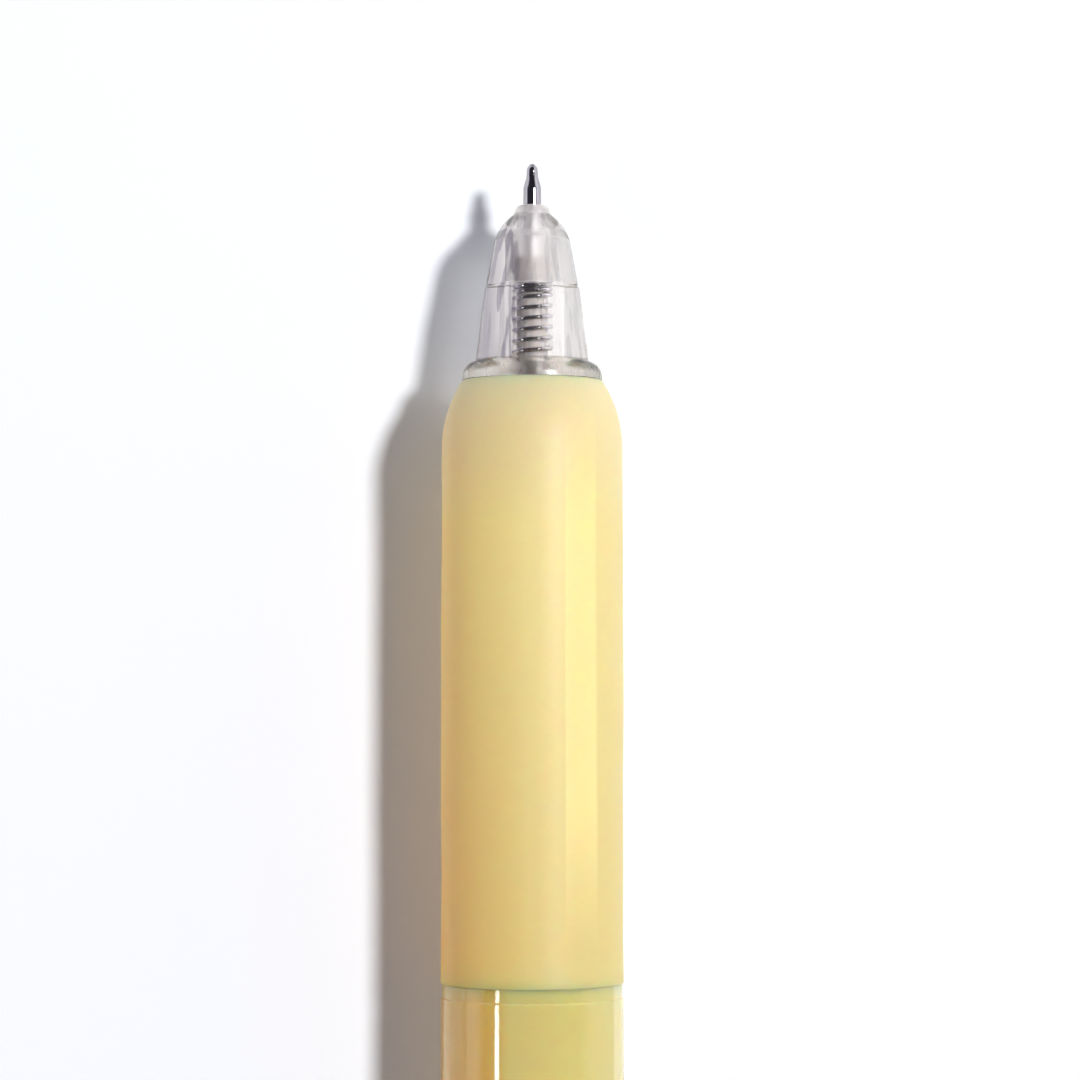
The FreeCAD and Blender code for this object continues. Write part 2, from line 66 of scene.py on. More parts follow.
# %% Stations, radii and angles
MM = 0.001
tube_low, tube_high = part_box("grip_sleeve")
AXIS_X = (tube_low.x + tube_high.x) / 2
AXIS_Z = (tube_low.z + tube_high.z) / 2
TIP_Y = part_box("writing_ball")[1].y
BODY_WIDTH = 13.0


def on_pen(station, radius, angle):
    """Points: x = axis + r cos(angle), y = tip - station, z = axis + r sin(angle), as whole arrays."""
    station, radius, angle = np.broadcast_arrays(station, radius, angle)
    return np.stack([AXIS_X + radius * MM * np.cos(angle), TIP_Y - station * MM,
                     AXIS_Z + radius * MM * np.sin(angle)], axis=-1)


print("axis at", round(AXIS_X * 1000, 3), round(AXIS_Z * 1000, 3), "mm, tip at", round(TIP_Y * 1000, 3), "mm")

# %% [markdown]
# ## Profiles with soft corners
# No moulded or turned edge is a true corner, and on clear plastic a sharp one looks wrong at once.
# A profile is a row of corners: station, radius, and how far before the corner the rounding starts.
# Each corner becomes a short parabola that leaves both sides at a tangent. Arcs are many small corners, whose
# rounding is ROUND, longer than any side, so that each is as round as its neighbours allow.

# %% Arcs and rounded profiles
ROUND = 9.0
SIDE_SHARE = 0.46


def arc(start, end, radius, count=14):
    """Corners on the arc from start to end: centre + radius (cos t, sin t), turning anticlockwise seen with
    the radius to the right and the station up. Start and end are (station, radius) pairs."""
    a = np.array(start[::-1], float)
    b = np.array(end[::-1], float)
    chord = b - a
    length = np.hypot(*chord)
    left = np.array([-chord[1], chord[0]]) / length
    centre = (a + b) / 2 + left * math.sqrt(radius**2 - (length / 2) ** 2)
    t0 = math.atan2(*(a - centre)[::-1])
    t1 = math.atan2(*(b - centre)[::-1])
    t = np.linspace(t0, t1 + 2 * math.pi * (t1 < t0), count)
    corners = [centre[1] + radius * np.sin(t), centre[0] + radius * np.cos(t), np.full(count, ROUND)]
    return np.stack(corners, axis=1)


def soft(corners, closed=True, steps=4):
    """Points and tangents: (1-t)^2 before + 2t(1-t) corner + t^2 after, for every corner at once.
    Before and after lie on the two sides, no further away than SIDE_SHARE of a side."""
    rows = np.vstack([np.atleast_2d(np.array(part, float)) for part in corners])
    here = rows[:, :2]
    back = np.roll(here, 1, axis=0) - here
    ahead = np.roll(here, -1, axis=0) - here
    reach = np.minimum(np.hypot(*back.T), np.hypot(*ahead.T))
    trim = np.minimum(rows[:, 2], SIDE_SHARE * reach)
    if not closed:
        trim[[0, -1]] = 0.0
    before = here + back * (trim / np.hypot(*back.T))[:, None]
    after = here + ahead * (trim / np.hypot(*ahead.T))[:, None]
    t = np.linspace(0, 1, steps)[None, :, None]
    points = (1 - t) ** 2 * before[:, None] + 2 * t * (1 - t) * here[:, None] + t**2 * after[:, None]
    slopes = (1 - t) * (here - before)[:, None] + t * (after - here)[:, None]
    points, slopes = points.reshape(-1, 2), slopes.reshape(-1, 2)
    if not closed:
        points, slopes = points[steps - 1:1 - steps], slopes[steps - 1:1 - steps]
        slopes[0], slopes[-1] = (0, 1), (0, -1)
    return points, slopes


# %% [markdown]
# ## From arrays to meshes
# A piece turned round the axis is a grid: along the profile one way and round the circle the other way.
# The profile's own slope gives exact normals, which matter more than the number of faces on glossy plastic.
# Closed profiles join up with themselves, as a tube's wall does. Open ones end on the axis in a fan.

# %% Meshes from grids
def new_piece(name, points, faces, normals=None):
    """A smooth mesh object at the origin, with its place in its points."""
    mesh = bpy.data.meshes.new(name)
    mesh.from_pydata(points.tolist(), [], faces)
    mesh.polygons.foreach_set("use_smooth", np.ones(len(mesh.polygons), bool))
    mesh.update()
    if normals is not None:
        mesh.normals_split_custom_set_from_vertices(normals.tolist())
    piece = bpy.data.objects.new(name, mesh)
    scene.collection.objects.link(piece)
    return piece


def grid_faces(rows, columns, wrap_rows):
    """Four corners of each face of a grid that closes across its columns, and across its rows if asked."""
    i = np.arange(rows if wrap_rows else rows - 1)[:, None]
    j = np.arange(columns)[None, :]
    below, right = (i + 1) % rows, (j + 1) % columns
    corners = [i * columns + j, i * columns + right, below * columns + right, below * columns + j]
    return np.stack(np.broadcast_arrays(*corners), axis=-1).reshape(-1, 4).tolist()


def turned(name, corners, closed=True, around=144, ripple=None, steps=4):
    """The profile (s, r) carried round the axis: point(s, angle) = on_pen(s, r + ripple(s, r, angle), angle).
    The normal is the profile's slope turned a quarter, so a ripple has to be slow along the pen."""
    outline, slopes = soft(corners, closed, steps)
    angle = np.linspace(0, 2 * math.pi, around, endpoint=False)
    s, r = outline[:, :1], outline[:, 1:]
    wave = ripple(s, r, angle) if ripple else 0.0
    points = on_pen(s, r + wave, angle)
    slopes = slopes / np.maximum(np.hypot(*slopes.T), 1e-9)[:, None]
    out, along = slopes[:, :1], slopes[:, 1:]
    normals = np.stack(np.broadcast_arrays(out * np.cos(angle), along, out * np.sin(angle)), axis=-1)
    if closed:
        faces = grid_faces(len(s), around, True)
        return new_piece(name, points.reshape(-1, 3), faces, normals.reshape(-1, 3))
    inner = points[1:-1].reshape(-1, 3)
    rows = len(s) - 2
    faces = grid_faces(rows, around, False)
    j = np.arange(around)
    near, far = rows * around, rows * around + 1
    last = (rows - 1) * around
    faces += np.stack([np.full(around, near), (j + 1) % around, j], axis=1).tolist()
    faces += np.stack([np.full(around, far), last + j, last + (j + 1) % around], axis=1).tolist()
    points = np.vstack([inner, points[0, :1], points[-1, :1]])
    normals = np.vstack([normals[1:-1].reshape(-1, 3), normals[0, :1], normals[-1, :1]])
    return new_piece(name, points, faces, normals)


def settle(piece, body, node, finish):
    """Gives the piece its finish, lets it ride on its body and stand for its plain solid, and compares the
    boxes of both."""
    piece.data.materials.append(finish)
    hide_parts(node)
    if body:
        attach(piece, body)
    low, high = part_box(node)
    points = np.array([v.co for v in piece.data.vertices])
    off = np.abs(np.concatenate([points.min(0) - low, points.max(0) - high])).max() * 1000
    print(f"{piece.name}: {len(piece.data.polygons)} faces, its box within {off:.3f} mm of the solid's")


# %% [markdown]
# ## Shader maths in plain Python
# `Wire` holds a socket, and + - * / on it add Math nodes, so a pattern reads like a formula.
# `Recipe.node` makes any node: its settings are set first, then the values or links of its sockets.

# %% A small kit for materials
class Wire:
    def __init__(self, recipe, socket):
        self.recipe, self.socket = recipe, socket

    def maths(self, operation, first, second=None):
        values = {0: first} if second is None else {0: first, 1: second}
        return self.recipe.node("Math", {"operation": operation}, values)

    def __add__(self, other):
        return self.maths("ADD", self, other)

    def __sub__(self, other):
        return self.maths("SUBTRACT", self, other)

    def __rsub__(self, other):
        return self.maths("SUBTRACT", other, self)

    def __mul__(self, other):
        return self.maths("MULTIPLY", self, other)

    def __truediv__(self, other):
        return self.maths("DIVIDE", self, other)

    __radd__, __rmul__ = __add__, __mul__

    def clipped(self):
        return self.maths("MAXIMUM", self.maths("MINIMUM", self, 1.0), 0.0)


class Recipe:
    """The nodes of one material, or of the world."""

    def __init__(self, tree):
        self.tree = tree
        tree.nodes.clear()

    def node(self, kind, settings, values, output=0):
        """Any node: settings, then sockets by name or number, each a Wire or a plain value."""
        node = self.tree.nodes.new("ShaderNode" + kind)
        for name, setting in settings.items():
            if name == "stops":
                ramp = node.color_ramp
                while len(ramp.elements) < len(setting):
                    ramp.elements.new(0.5)
                for element, (place, colour) in zip(ramp.elements, setting):
                    element.position, element.color = place, (*colour, 1)
            else:
                setattr(node, name, setting)
        for name, value in values.items():
            if isinstance(value, Wire):
                self.tree.links.new(value.socket, node.inputs[name])
            else:
                node.inputs[name].default_value = value
        return Wire(self, node.outputs[output]) if node.outputs else None

    def mix(self, share, first, second):
        """Colour: first where share is 0 and second where it is 1. Colours are linear (r, g, b)."""
        first, second = (v if isinstance(v, Wire) else (*v, 1) for v in (first, second))
        return self.node("Mix", {"data_type": "RGBA"}, {0: share, 6: first, 7: second}, 2)

    def place(self, stretch=(1, 1, 1)):
        """Object coordinates, stretched along the axes."""
        found = self.node("TexCoord", {}, {}, "Object")
        return self.node("Mapping", {}, {"Vector": found, "Scale": stretch})

    def noise(self, scale, detail, stretch=(1, 1, 1)):
        """Cloudy noise from 0 to 1, with so many lumps to a metre."""
        values = {"Vector": self.place(stretch), "Scale": scale, "Detail": detail, "Roughness": 0.5}
        return self.node("TexNoise", {}, values)

    def ramp(self, share, *stops):
        """Colours along a row of stops, each a place from 0 to 1 and a colour as written on the screen."""
        return self.node("ValToRGB", {"stops": [(place, rgb(text)) for place, text in stops]}, {"Fac": share})

    def bump(self, height, depth):
        """A normal from a height pattern; depth in metres."""
        return self.node("Bump", {}, {"Height": height, "Distance": depth, "Strength": 1.0})

    def along(self, axis):
        """The X, Y or Z of Object coordinates, in metres."""
        return self.node("SeparateXYZ", {}, {0: self.place()}, axis)

    def station(self):
        """Millimetres behind the tip."""
        return TIP_Y / MM - self.along("Y") * (1 / MM)


def across(recipe):
    """0 at the pen's left side, seen from above with the tip away from you, and 1 at its right side."""
    return ((recipe.along("X") - AXIS_X) / (BODY_WIDTH * MM) + 0.5).clipped()


def from_axis(recipe):
    """Millimetres from the pen's axis: sqrt(x^2 + z^2)."""
    x, z = recipe.along("X") - AXIS_X, recipe.along("Z") - AXIS_Z
    square = x * x + z * z
    return square.maths("POWER", square, 0.5) * (1 / MM)


def starts(value, edge, steep):
    """A mask: 0 up to the edge, then up to 1 within 1 / steep."""
    return (steep * (value - edge)).clipped()


def ends(value, edge, steep):
    """A mask: 1 until 1 / steep before the edge, then down to 0 at the edge."""
    return (steep * (edge - value)).clipped()


def rgb(text):
    """A colour written as on the screen, such as e8d690, in the linear values that shaders use."""
    c = np.array([int(text[k:k + 2], 16) for k in (0, 2, 4)]) / 255
    return tuple(np.where(c <= 0.04045, c / 12.92, ((c + 0.055) / 1.055) ** 2.4).tolist())


def new_finish(name, build):
    """A material whose surface is what build(recipe) returns."""
    finish = bpy.data.materials.new(name)
    finish.use_nodes = True
    recipe = Recipe(finish.node_tree)
    recipe.node("OutputMaterial", {}, {"Surface": build(recipe)})
    print("finish", name + ":", len(finish.node_tree.nodes), "nodes")
    return finish


# %% [markdown]
# ## The camera
# The photograph looks almost straight down from about 26 cm, a little from the barrel's side,
# so that the front of the pen fills the middle of the picture and its rear half is cut off.

# %% Camera
CAMERA_HEIGHT = 256.7
FRAME_STATION = 27.0
NADIR_STATION = 38.4
AXIS_LEFT_OF_CENTRE = 0.557

look_at = Vector(on_pen(FRAME_STATION, AXIS_LEFT_OF_CENTRE, 0.0))
stand = Vector(on_pen(NADIR_STATION, AXIS_LEFT_OF_CENTRE, 0.0)) + Vector((0, 0, CAMERA_HEIGHT * MM))
away = (stand - look_at).normalized()
right = Vector((0, 1, 0)).cross(away).normalized()
up = away.cross(right)
lens = bpy.data.cameras.new("camera")
lens.lens = 120
lens.sensor_width = 36
lens.clip_start = 0.01
camera = bpy.data.objects.new("camera", lens)
scene.collection.objects.link(camera)
camera.matrix_world = Matrix.Translation(stand) @ Matrix((right, up, away)).transposed().to_4x4()
scene.camera = camera
print("camera", round((stand - look_at).length * 1000, 1), "mm away")

# %% [markdown]
# ## The table
# The table is a plain white sheet of paper. The light that the pen throws on it is warm, and clear plastic
# bends the view of it, so the finish allows for both.

# %% Table
def table_shader(n):
    """Seen straight, the sheet is a trace cooler, so that the pen's warm glow leaves the shadow grey. Seen
    through clear plastic, part of it is the plain white of the background."""
    paper = n.noise(900, 3)
    seen = n.node("LightPath", {}, {}, "Is Camera Ray")
    through = n.node("LightPath", {}, {}, "Is Transmission Ray")
    plain = n.mix(paper, (0.955, 0.955, 0.96), (0.965, 0.965, 0.97))
    sheet = n.node("BsdfDiffuse", {}, {"Color": n.mix(seen, plain, (0.94, 0.96, 1.0))})
    white = n.node("Emission", {}, {"Color": (1.0, 0.985, 0.98, 1), "Strength": 0.97})
    return n.node("MixShader", {}, {0: 0.65 * through, 1: sheet, 2: white})


floor = new_piece("table", np.array([[-2, -2, 0], [2, -2, 0], [2, 2, 0], [-2, 2, 0]], float), [[0, 1, 2, 3]])
floor.data.materials.append(new_finish("white_sheet", table_shader))

# %% [markdown]
# ## The sky
# The room has pale walls and a dark ceiling. One ramp over the height does both, and a glossy nib mirrors the
# dark overhead as its dark stripe. A wall stands nearer on the left, so the light is stronger from there.

# %% Sky
SKY_PALE = (0.80, 0.81, 0.88)
SKY_DARK = (0.035, 0.032, 0.042)
PALE_UP_TO = 0.26
DARK_FROM = 0.48
SKY_LIGHT = 1.05
MORE_ON_LEFT = 0.65

world = bpy.data.worlds.new("studio")
world.use_nodes = True
scene.world = world
sky = Recipe(world.node_tree)
towards = sky.node("TexCoord", {}, {}, "Generated")
upward = sky.node("SeparateXYZ", {}, {0: towards}, "Z")
leftward = (sky.node("SeparateXYZ", {}, {0: towards}, "X") * -1.0).clipped()
heights = [(0.0, SKY_PALE), (PALE_UP_TO, SKY_PALE), (DARK_FROM, SKY_DARK), (1.0, SKY_DARK)]
glow = sky.node("ValToRGB", {"stops": heights}, {"Fac": upward})
background = sky.node("Background", {}, {"Color": glow, "Strength": SKY_LIGHT + MORE_ON_LEFT * leftward})
sky.node("OutputWorld", {}, {"Surface": background})

# %% [markdown]
# ## The lamps
# A small lamp high on the right throws the soft-edged shadow to the left. A broad window low on the right,
# drawn out past the tip, gives the plastic its long sheen. A small one on the left, beside the barrel, makes
# the thin white line along it.

# %% Lamps
LIT_STATION = 30.0


def lamp(name, lean_right, lean_tip, distance, size, light, shape="RECTANGLE", shift=0.0):
    """An area lamp that looks at the pen's front. lean_right and lean_tip are sideways metres for a metre of
    height. light is what it adds to a white sheet that lies flat, where 1 is white:
    power = light * pi^2 * distance^2 / cosine of its angle from straight up. shift slides it towards +Y."""
    direction = Vector((lean_right, lean_tip, 1)).normalized()
    target = Vector(on_pen(LIT_STATION, 0.0, 0.0))
    data = bpy.data.lights.new(name, "AREA")
    data.shape = shape
    data.size, data.size_y = size
    data.energy = light * math.pi**2 * distance**2 / direction.z
    made = bpy.data.objects.new(name, data)
    scene.collection.objects.link(made)
    side = Vector((0, 1, 0)).cross(direction).normalized()
    made.matrix_world = (Matrix.Translation(target + direction * distance + Vector((0, shift, 0)))
                         @ Matrix((side, direction.cross(side), direction)).transposed().to_4x4())
    made.visible_camera = False
    print(name, "gives", round(data.energy, 2), "W")


lamp("key_lamp", lean_right=0.60, lean_tip=0.20, distance=1.2, size=(0.15, 0.15), light=0.80,
     shape="DISK")
lamp("right_window", lean_right=2.2, lean_tip=0.0, distance=1.0, size=(0.75, 1.2), light=0.09,
     shift=0.52)
lamp("left_window", lean_right=-0.98, lean_tip=0.0, distance=1.0, size=(0.095, 0.16), light=0.06,
     shift=-0.187)

# %% [markdown]
# ## The nib
# The nib is turned from stainless wire: a lip rolled over the ball, a slim point, a shoulder and the shank.
# Polished metal has no colour of its own, only what it mirrors, so the finish is nearly plain.
# The finest lathe lines are a bump that runs round it, and they roughen the reflection along the pen.
# The shank is blasted where it sits in the cone and the neck, so it looks pale and matt there.

# %% Nib and ball
def steel_shader(n, colour=(0.45, 0.43, 0.46), rough=0.05, ridges=22000.0, depth=2.5e-7, blasted=0.0):
    """Metal that mirrors what is round it, with lathe lines: ridges is the pattern's turn in radians to a
    metre. Where blasted is 1 the metal is pale and matt instead."""
    lines = n.node("TexWave", {"wave_type": "BANDS", "bands_direction": "Y"},
                   {"Vector": n.place(), "Scale": ridges / 20, "Distortion": 1.5, "Detail": 2.0})
    smudge = n.noise(900, 3)
    polished = n.mix(smudge, tuple(0.9 * c for c in colour), colour)
    return n.node("BsdfPrincipled", {}, {
        "Base Color": n.mix(blasted, polished, (0.95, 0.93, 0.94)), "Metallic": 1.0,
        "Roughness": rough + 0.08 * smudge + 0.5 * blasted, "Normal": n.bump(lines, depth)})


BLASTED_FROM = 3.3
steel = new_finish("turned_steel", lambda n: steel_shader(n, blasted=starts(n.station(), BLASTED_FROM, 5.0)))
nib = turned("nib", [
    [(0.16, 0.245, 0.01)], arc((0.16, 0.264), (0.5, 0.40), 0.6, 8), [(0.62, 0.405, 0.05), (1.0, 0.43, 0.12)],
    [(1.75, 0.65, 0.14), (10.9, 0.65, 0.1), (10.9, 0.30, 0.02), (1.38, 0.30, 0.02), (1.2, 0.18, 0.02)],
    [(0.45, 0.18, 0.01), (0.3, 0.258, 0.02)]], around=96)
settle(nib, "refill", "ball_tip", steel)

BALL = 0.25
turn = np.linspace(0, math.pi, 26)
half_circle = np.stack([BALL - BALL * np.cos(turn), BALL * np.sin(turn), np.full(26, ROUND)], axis=1)
ball = turned("ball", [half_circle], closed=False, around=64, steps=2)
carbide = new_finish("carbide", lambda n: steel_shader(n, (0.34, 0.34, 0.37), 0.12))
settle(ball, "ball", "writing_ball", carbide)

# %% [markdown]
# ## The refill behind the nib
# A pale plastic neck fills the spring and ends in a collar that the spring pushes on.
# Behind it the tube is thin milky plastic with the ink in it. Both are plain mouldings with a satin skin.

# %% Neck, tube and ink
def moulded_shader(n, light, dark):
    """Opaque satin plastic with a fine grain and a cloud between two near colours."""
    cloud = n.noise(260, 3)
    fine = n.noise(4000, 2)
    return n.node("BsdfPrincipled", {}, {
        "Base Color": n.mix(cloud, light, dark), "Roughness": 0.34 + 0.1 * fine, "IOR": 1.48,
        "Subsurface Weight": 0.25, "Subsurface Radius": (1.0, 0.8, 0.6), "Subsurface Scale": 0.0006,
        "Normal": n.bump(fine, 1.5e-6)})


beige = new_finish("beige_neck", lambda n: moulded_shader(n, rgb("e6e1df"), rgb("dbd5d2")))
neck = turned("neck", [[
    (6.9, 0.67, 0.03), (6.9, 0.95, 0.03), (7.05, 1.1, 0.06), (19.72, 1.1, 0.1), (19.72, 2.85, 0.04),
    (19.87, 3.0, 0.08), (21.72, 3.0, 0.08), (21.72, 2.08, 0.05), (26.72, 2.08, 0.15), (26.72, 0.5, 0.04),
    (10.92, 0.5, 0.04), (10.92, 0.67, 0.03)]], around=96)
settle(neck, "refill", "tip_holder", beige)


def milky_shader(n):
    """Thin plastic that lets more than half of the light through."""
    cloud = n.noise(200, 3)
    return n.node("BsdfPrincipled", {}, {
        "Base Color": n.mix(cloud, rgb("f6f4ec"), rgb("ece8dc")), "Roughness": 0.22 + 0.1 * cloud, "IOR": 1.5,
        "Transmission Weight": 0.6, "Normal": n.bump(n.noise(1500, 2), 1e-6)})


def ink_shader(n):
    """Wet gel with streaks along the tube."""
    streak = n.noise(500, 3, (1, 0.15, 1))
    return n.node("BsdfPrincipled", {}, {
        "Base Color": n.mix(streak, rgb("f2b632"), rgb("e39d1c")), "Roughness": 0.12 + 0.15 * streak,
        "IOR": 1.4})


milky = new_finish("milky_tube", milky_shader)
tube = turned("refill_tube", [[(21.72, 2.1, 0.05), (21.72, 3.0, 0.1), (109.4, 3.0, 0.1), (109.4, 2.1, 0.05)]],
              around=96)
settle(tube, "refill", "ink_tube", milky)
ink = turned("ink", [[
    (0.4576, 0.0, 0.0), (0.4576, 0.16, 0.02), (1.22, 0.16, 0.02), (1.4, 0.28, 0.02), (10.92, 0.28, 0.02),
    (10.94, 0.48, 0.02), (26.72, 0.48, 0.02), (26.72, 2.08, 0.1), (88.7, 2.08, 0.2), (88.7, 0.0, 0.0)]],
    closed=False, around=96)
settle(ink, "refill", "gel_ink", new_finish("yellow_gel", ink_shader))

# %% [markdown]
# ## The return spring
# The spring is one wire on a helix: two closed turns, twelve open ones, two closed turns.
# A tube follows the helix, so a point is the coil's centre line plus the wire's own circle across it.
# Its front end rests on the nose cone and its rear end moves with the refill.

# %% Spring
WIRE_R = 0.16
COIL_R = 1.34
COIL_START = 8.96
COIL_END = 19.56
TURNS = 16
CLOSED_TURNS = 1.85
EASING_TURNS = 0.3
CLOSED_PITCH = 0.34
OPEN_PITCH = 0.77


def spring_points(lengthwise=1153, crosswise=18):
    """centre(t) = (R cos t, R sin t) at station(t), whose slope grows smoothly from the closed to the open
    pitch; point = centre + w (cos v * outward + sin v * along), with along square to the wire."""
    turns = np.linspace(0, TURNS, lengthwise)
    ease = np.clip(np.minimum(turns - CLOSED_TURNS, TURNS - CLOSED_TURNS - turns) / EASING_TURNS, 0, 1)
    pitch = CLOSED_PITCH + (OPEN_PITCH - CLOSED_PITCH) * ease * ease * (3 - 2 * ease)
    rise = np.concatenate([[0], np.cumsum((pitch[1:] + pitch[:-1]) / 2 * np.diff(turns))])
    station = COIL_START + rise * (COIL_END - COIL_START) / rise[-1]
    t = turns * 2 * math.pi
    lean = np.arctan2(pitch, 2 * math.pi * COIL_R)
    v = np.linspace(0, 2 * math.pi, crosswise, endpoint=False)[None, :]
    t, station, lean = t[:, None], station[:, None], lean[:, None]
    outward = COIL_R + WIRE_R * np.cos(v)
    sideways = WIRE_R * np.sin(v)
    around = t - sideways * np.sin(lean) / COIL_R
    return on_pen(station + sideways * np.cos(lean), outward, around)


coil = spring_points()
rows, columns = coil.shape[:2]
faces = [face[::-1] for face in grid_faces(rows, columns, False)]
faces += [list(range(columns)), list(range(rows * columns - 1, (rows - 1) * columns - 1, -1))]
spring = new_piece("spring", coil.reshape(-1, 3), faces)
spring_steel = new_finish("spring_wire", lambda n: steel_shader(n, (0.80, 0.79, 0.80), 0.10, 9000.0, 6e-7))
settle(spring, None, "return_spring", spring_steel)
on_pen(8.8, 0.0, 0.0).tolist()
on_pen(19.72, 0.0, 0.0).tolist()
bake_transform(spring)


# %% [markdown]
# ## Clear plastic
# The nose cone is a glass-clear moulding with a faint lilac cast. The rear cap and the clip are the same
# plastic, a little cloudy. A lamp's shadow ray can't bend through it, so for those rays alone a part-clear
# plain surface stands in. Flow waves and hairlines too small to see one by one keep the reflections from
# looking drawn.

# %% Clear finish
def clear_shader(n, tint, rough=0.015, shade=0.32, through=1.0, matt=0.0):
    """Shadow rays see a plain filter that lets the share `shade` of the light pass. matt adds roughness.
    What doesn't go `through` scatters, as in slightly cloudy plastic."""
    waves = n.noise(420, 3, (1, 0.35, 1))
    hair = n.noise(2500, 2, (1, 0.08, 1))
    body = n.node("BsdfPrincipled", {}, {
        "Base Color": n.mix(0.06 * waves, tint, (0.7, 0.7, 0.72)), "Roughness": rough + 0.02 * hair + matt,
        "IOR": 1.49, "Transmission Weight": through, "Normal": n.bump(waves + 0.1 * hair, 6e-6)})
    filtered = n.node("BsdfTransparent", {}, {"Color": (shade, shade, shade, 1)})
    lamp_ray = n.node("LightPath", {}, {}, "Is Shadow Ray")
    return n.node("MixShader", {}, {0: lamp_ray, 1: body, 2: filtered})


clear = new_finish("clear_plastic", lambda n: clear_shader(n, rgb("fbf9fa"), rough=0.04, through=0.7))

# %% [markdown]
# ## The nose cone
# From the front: a small collar round the nib, a dome, a bevel ring, a first cone, a fine step, a second
# cone and the flange that meets the grip. Inside are the nib's guide, a wider relief, the spring's bore
# and a funnel for the tube. The bore's wall seen through the thick plastic makes bright and dark bands, and
# on the upper side the dark bands are painted shade as well.
# The mould is polished, except for the bore in front of the spring, the collar, the bevel ring and the
# flange, which are a little matt.

# %% Nose cone
def nose_shader(n):
    """Masks by station and distance from the axis make the unpolished places matt. The upper left is painted
    darker, and dark streaks are painted along the upper outside, deeper towards the left: painted shade for
    the dark bands that bent light shows. The flange is painted warm, as the grip's glow would tint it."""
    s, r = n.station(), from_axis(n)
    core = ends(r, 1.42, 12.0) * ends(s, 8.9, 4.0)
    collar = ends(s, 3.68, 10.0)
    ring = starts(s, 4.86, 12.0) * ends(s, 5.56, 12.0) * starts(r, 2.2, 4.0)
    outer = starts(r, 1.6, 8.0) * starts((n.along("Z") - AXIS_Z) * (1 / MM), 0.0, 0.8)
    # Painted shade: the upper left is painted darker lilac-grey.
    side = starts((AXIS_X - n.along("X")) * (1 / MM), 0.0, 0.25) * outer
    flange = starts(s, 14.2, 2.0)
    # Painted shade: dark streaks along the upper outside, darker towards the left, stand for dark bands that
    # bent light shows.
    painted_dark_streaks = starts(n.noise(1700, 1, (1, 0.02, 1)), 0.5125, 16.0) * outer
    painted_shade_tint = n.mix(side * 1.2 + painted_dark_streaks * (0.35 + 0.6 * side), rgb("fefcfb"), rgb("716a79"))
    # Painted light: the flange is tinted warm, as the grip's glow would tint it.
    tint = n.mix(flange * 0.8, painted_shade_tint, rgb("f8f4ee"))
    return clear_shader(n, tint, shade=0.2, matt=0.6 * core + 0.5 * collar + 0.3 * ring + 0.25 * flange)


nose_clear = new_finish("nose_plastic", nose_shader)
nose = turned("nose", [
    [(3.0, 0.74, 0.03)], arc((3.0, 0.82), (3.54, 1.28), 0.6, 8), [(3.62, 1.28, 0.04)],
    arc((3.64, 1.30), (4.93, 2.43), 3.7, 10), [(5.48, 2.68, 0.05), (8.95, 3.33, 0.03), (9.02, 3.40, 0.03)],
    arc((14.2263, 4.05), (15.4, 5.0), 1.2, 12), [(15.6, 5.0, 0.04), (15.6, 3.85, 0.1), (22.0, 3.85, 0.2)],
    [(22.0, 3.2, 0.15), (17.2, 3.2, 0.5), (15.4, 1.55, 0.4), (8.8, 1.55, 0.06), (8.8, 1.3, 0.05)],
    [(5.3, 1.3, 0.1), (5.3, 0.74, 0.08)]], around=192, steps=5)
settle(nose, "housing", "nose_cone", nose_clear)

# %% [markdown]
# ## The grip
# The grip is a sleeve of soft silicone, milky and yellow, with a fine satin skin.
# Light goes some way into it and comes out warmer, so subsurface scattering does most of the work.
# Its front is milkier and its rear deeper. Across it the colour paints light and shade: the left is deeper
# orange, as if lit through from the right, and the right a little darker against the lamps. A paler band with
# crisp edges along its upper right is a painted highlight, because lamps alone give too soft a band.
# The sleeve is a little uneven, as soft mouldings are: its wall waves by hundredths of a millimetre.

# %% Grip
def silicone_shader(n):
    """One ramp of painted side light and shade across the front half and a deeper one across the rear, mixed
    by the station, with a painted highlight band along the upper right.
    """
    s = n.station()
    cloud = n.noise(45, 3)
    streak = n.noise(300, 3, (1, 0.06, 1))
    skin = n.noise(9000, 3)
    spot = across(n) + 0.05 * streak
    # Painted light and shade across the pen: the left deeper orange, as if lit through from the right, the
    # right darker against the lamps.
    front_side_shading = n.ramp(spot, (0.0, "f5c970"), (0.25, "f2d88e"), (0.5, "eedc9e"), (0.8, "dfce8e"), (1.0, "d2c488"))
    rear_side_shading = n.ramp(spot, (0.0, "e6aa4b"), (0.25, "e4bf6c"), (0.5, "dec984"), (0.8, "ccbb7b"), (1.0, "c4b273"))
    body = n.mix(starts(s, 22.0, 1 / 36), front_side_shading, rear_side_shading)
    milky_front = n.mix(ends(s, 26.0, 0.1) * 0.75, body, rgb("d2c29f"))
    height = n.along("Z")
    # Painted highlight: a paler band with crisp edges on the upper right, where a window's reflection falls.
    painted_highlight_band = starts(spot, 0.70, 90.0) * ends(spot, 0.882, 60.0) * starts(s, 18.0, 0.13) * ends(s, 55.5, 0.10)
    painted_highlight_band = painted_highlight_band * height.maths("GREATER_THAN", height, AXIS_Z)
    return n.node("BsdfPrincipled", {}, {
        "Base Color": n.mix(0.1 * cloud + 0.45 * painted_highlight_band, milky_front, rgb("f4e4a0")),
        "Roughness": 0.42 + 0.08 * skin, "IOR": 1.4,
        "Subsurface Weight": 1.0, "Subsurface Radius": (1.0, 0.5, 0.18), "Subsurface Scale": 0.003,
        "Normal": n.bump(skin + 0.8 * streak, 3e-6)})


